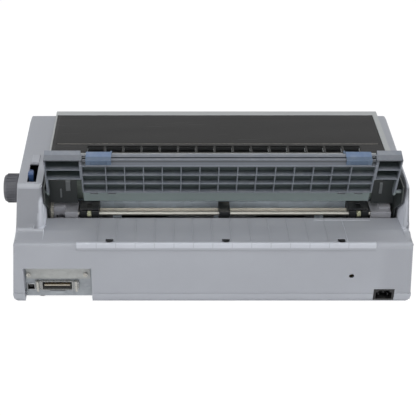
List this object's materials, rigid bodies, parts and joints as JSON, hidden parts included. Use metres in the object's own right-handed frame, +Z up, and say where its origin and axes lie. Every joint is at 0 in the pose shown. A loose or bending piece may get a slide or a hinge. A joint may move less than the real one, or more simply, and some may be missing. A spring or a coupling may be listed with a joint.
{
  "type": "dot matrix printer",
  "caption": "Wide-carriage impact printer: hinged smoked cover, raised ribbed paper guide with sliding edge guides, rear push tractors, platen knob and rear sockets.",
  "frame": {"origin": "middle of the whole part's footprint, on the surface that the feet stand on", "axes": "+Z up; the front faces -Y and the rear, with its sockets, +Y; the platen knob is on +X"},
  "size_m": [0.623, 0.3874, 0.237],
  "materials": {
    "case": "fine moulded texture",
    "case_dark": "moulded, satin",
    "window": "smoked clear plastic",
    "blue_plastic": "satin blue plastic",
    "rubber_black": "matt",
    "platen_rubber": "ground rubber",
    "steel": "ground shaft",
    "zinc_sheet": "zinc-plated sheet",
    "dark_sheet": "dark painted sheet",
    "knob_plastic": "ribbed, matt",
    "gear_plastic": "natural acetal",
    "brass": "machined",
    "motor_steel": "satin",
    "black_plastic": "moulded",
    "grey_plastic": "moulded",
    "lever_blue": "moulded",
    "head_metal": "die-cast fins",
    "board": "solder resist",
    "supply": "bare board and wound parts",
    "nickel": "nickel plate",
    "light": "clear green lens",
    "button": "moulded",
    "belt_rubber": "toothed belt"
  },
  "bodies": {
    "housing": {"lower_case": "case", "feet": "rubber_black", "upper_case": "case", "base_frame": "zinc_sheet", "side_frame_right": "dark_sheet", "side_frame_left": "dark_sheet", "feed_motor": "motor_steel", "guide_shaft": "steel", "tractor_bracket_right": "grey_plastic", "tractor_bracket_left": "grey_plastic", "paper_pan": "zinc_sheet", "carriage_rod": "steel", "carriage_motor": "motor_steel", "timing_belt": "belt_rubber", "ribbon_cartridge": "black_plastic", "main_board": "board", "power_supply": "supply", "interface_plate": "zinc_sheet", "option_plate": "zinc_sheet", "option_screws": "nickel", "usb_port": "nickel", "parallel_port": "nickel", "power_inlet": "black_plastic", "control_panel": "case_dark", "status_lights": "light"},
    "cover": {"top_cover": "case_dark", "cover_window": "window"},
    "guide": {"paper_guide": "case_dark"},
    "edge_right": {"edge_guide_right": "blue_plastic"},
    "edge_left": {"edge_guide_left": "blue_plastic"},
    "platen_roll": {"platen": "platen_rubber", "platen_shaft": "steel", "platen_gear": "gear_plastic", "platen_knob": "knob_plastic"},
    "idler": {"feed_idler": "gear_plastic"},
    "pinion": {"feed_pinion": "brass"},
    "tractor_drive": {"drive_shaft": "steel", "tractor_gear": "gear_plastic"},
    "right_tractor": {"tractor_right": "black_plastic"},
    "left_tractor": {"tractor_left": "black_plastic"},
    "right_wheel": {"pin_wheel_right": "black_plastic"},
    "left_wheel": {"pin_wheel_left": "black_plastic"},
    "right_door": {"tractor_door_right": "black_plastic"},
    "left_door": {"tractor_door_left": "black_plastic"},
    "right_lock": {"tractor_lock_right": "brass"},
    "left_lock": {"tractor_lock_left": "brass"},
    "support": {"centre_support": "black_plastic"},
    "release": {"release_lever": "lever_blue"},
    "bail": {"paper_bail": "steel"},
    "head_carriage": {"carriage": "black_plastic", "print_head": "head_metal"},
    "drive_pulley": {"carriage_pulley": "gear_plastic"},
    "return_pulley": {"idler_pulley": "gear_plastic"},
    "right_clip": {"port_clip_right": "nickel"},
    "left_clip": {"port_clip_left": "nickel"},
    "push_right": {"button_right": "button"},
    "push_middle": {"button_middle": "button"},
    "push_left": {"button_left": "button"},
    "front_flap": {"front_cover": "case"},
    "switch": {"power_switch": "black_plastic"}
  },
  "joints": [
    {"name": "cover_hinge", "type": "hinge", "parent": "housing", "child": "cover", "pos_m": [-0.0095, 0.07325, 0.178], "axis": [-1, 0, 0], "range_deg": [0, 75]},
    {"name": "guide_fold", "type": "hinge", "parent": "housing", "child": "guide", "pos_m": [-0.0095, 0.13125, 0.163], "axis": [1, 0, 0], "range_deg": [0, 30]},
    {"name": "edge_right_slide", "type": "slide", "parent": "guide", "child": "edge_right", "axis": [1, 0, 0], "range_m": [-0.13, 0.008]},
    {"name": "edge_left_slide", "type": "slide", "parent": "guide", "child": "edge_left", "axis": [1, 0, 0], "range_m": [-0.006, 0.13]},
    {"name": "platen_turn", "type": "hinge", "parent": "housing", "child": "platen_roll", "pos_m": [-0.0095, 0.06625, 0.13], "axis": [1, 0, 0], "continuous": true},
    {"name": "idler_turn", "type": "hinge", "parent": "housing", "child": "idler", "pos_m": [-0.0095, 0.04814, 0.09679], "axis": [1, 0, 0], "continuous": true},
    {"name": "pinion_turn", "type": "hinge", "parent": "housing", "child": "pinion", "pos_m": [-0.0095, 0.03625, 0.075], "axis": [1, 0, 0], "continuous": true},
    {"name": "tractor_drive_turn", "type": "hinge", "parent": "housing", "child": "tractor_drive", "pos_m": [-0.0095, 0.08125, 0.0975], "axis": [1, 0, 0], "continuous": true},
    {"name": "tractor_right_slide", "type": "slide", "parent": "housing", "child": "right_tractor", "axis": [1, 0, 0], "range_m": [-0.13, 0.001]},
    {"name": "tractor_left_slide", "type": "slide", "parent": "housing", "child": "left_tractor", "axis": [1, 0, 0], "range_m": [-0.002, 0.13]},
    {"name": "wheel_right_turn", "type": "hinge", "parent": "right_tractor", "child": "right_wheel", "pos_m": [-0.0095, 0.08125, 0.0975], "axis": [1, 0, 0], "continuous": true},
    {"name": "wheel_left_turn", "type": "hinge", "parent": "left_tractor", "child": "left_wheel", "pos_m": [-0.0095, 0.08125, 0.0975], "axis": [1, 0, 0], "continuous": true},
    {"name": "door_right_hinge", "type": "hinge", "parent": "right_tractor", "child": "right_door", "pos_m": [0.1915, 0.09625, 0.1157], "axis": [0, 1, 0], "range_deg": [0, 85]},
    {"name": "door_left_hinge", "type": "hinge", "parent": "left_tractor", "child": "left_door", "pos_m": [-0.2495, 0.09625, 0.1157], "axis": [0, -1, 0], "range_deg": [0, 85]},
    {"name": "lock_right_turn", "type": "hinge", "parent": "right_tractor", "child": "right_lock", "pos_m": [0.1785, 0.10325, 0.1065], "axis": [-1, 0, 0], "range_deg": [0, 22]},
    {"name": "lock_left_turn", "type": "hinge", "parent": "left_tractor", "child": "left_lock", "pos_m": [-0.2365, 0.10325, 0.1065], "axis": [-1, 0, 0], "range_deg": [0, 22]},
    {"name": "support_slide", "type": "slide", "parent": "housing", "child": "support", "axis": [1, 0, 0], "range_m": [-0.025, 0.025]},
    {"name": "release_turn", "type": "hinge", "parent": "housing", "child": "release", "pos_m": [0.2615, 0.10725, 0.125], "axis": [1, 0, 0], "range_deg": [0, 24]},
    {"name": "bail_lift", "type": "hinge", "parent": "housing", "child": "bail", "pos_m": [-0.0095, 0.03925, 0.16], "axis": [1, 0, 0], "range_deg": [0, 28]},
    {"name": "carriage_slide", "type": "slide", "parent": "housing", "child": "head_carriage", "axis": [1, 0, 0], "range_m": [0, 0.37]},
    {"name": "drive_pulley_turn", "type": "hinge", "parent": "housing", "child": "drive_pulley", "pos_m": [0.2025, -0.05275, 0.103], "axis": [0, 0, 1], "range_deg": [-2130, 0]},
    {"name": "return_pulley_turn", "type": "hinge", "parent": "housing", "child": "return_pulley", "pos_m": [-0.2475, -0.05275, 0.103], "axis": [0, 0, 1], "range_deg": [-2130, 0]},
    {"name": "clip_right_turn", "type": "hinge", "parent": "housing", "child": "right_clip", "pos_m": [0.2552, 0.17865, 0.0251], "axis": [0, 0, -1], "range_deg": [-12, 55]},
    {"name": "clip_left_turn", "type": "hinge", "parent": "housing", "child": "left_clip", "pos_m": [0.1966, 0.17865, 0.0251], "axis": [0, 0, 1], "range_deg": [-12, 55]},
    {"name": "button_right_press", "type": "slide", "parent": "housing", "child": "push_right", "axis": [0, 0.6441, -0.7649], "range_m": [0, 0.0012], "stiffness_N_per_m": 400},
    {"name": "button_middle_press", "type": "slide", "parent": "housing", "child": "push_middle", "axis": [0, 0.6441, -0.7649], "range_m": [0, 0.0012], "stiffness_N_per_m": 400},
    {"name": "button_left_press", "type": "slide", "parent": "housing", "child": "push_left", "axis": [0, 0.6441, -0.7649], "range_m": [0, 0.0012], "stiffness_N_per_m": 400},
    {"name": "front_cover_hinge", "type": "hinge", "parent": "housing", "child": "front_flap", "pos_m": [-0.0095, -0.19225, 0.0239], "axis": [1, 0, 0], "range_deg": [0, 80]},
    {"name": "power_switch_rock", "type": "hinge", "parent": "housing", "child": "switch", "pos_m": [-0.2615, -0.18575, 0.042], "axis": [-1, 0, 0], "range_deg": [0, 6]}
  ],
  "couplings": [
    {"joint": "idler_turn", "follows": "platen_turn", "ratio": -1.3077},
    {"joint": "pinion_turn", "follows": "platen_turn", "ratio": 2.6154},
    {"joint": "tractor_drive_turn", "follows": "platen_turn", "ratio": -1.4783},
    {"joint": "wheel_right_turn", "follows": "platen_turn", "ratio": -1.4783},
    {"joint": "wheel_left_turn", "follows": "platen_turn", "ratio": -1.4783},
    {"joint": "drive_pulley_turn", "follows": "carriage_slide", "rad_per_m": -100},
    {"joint": "return_pulley_turn", "follows": "carriage_slide", "rad_per_m": -100}
  ]
}
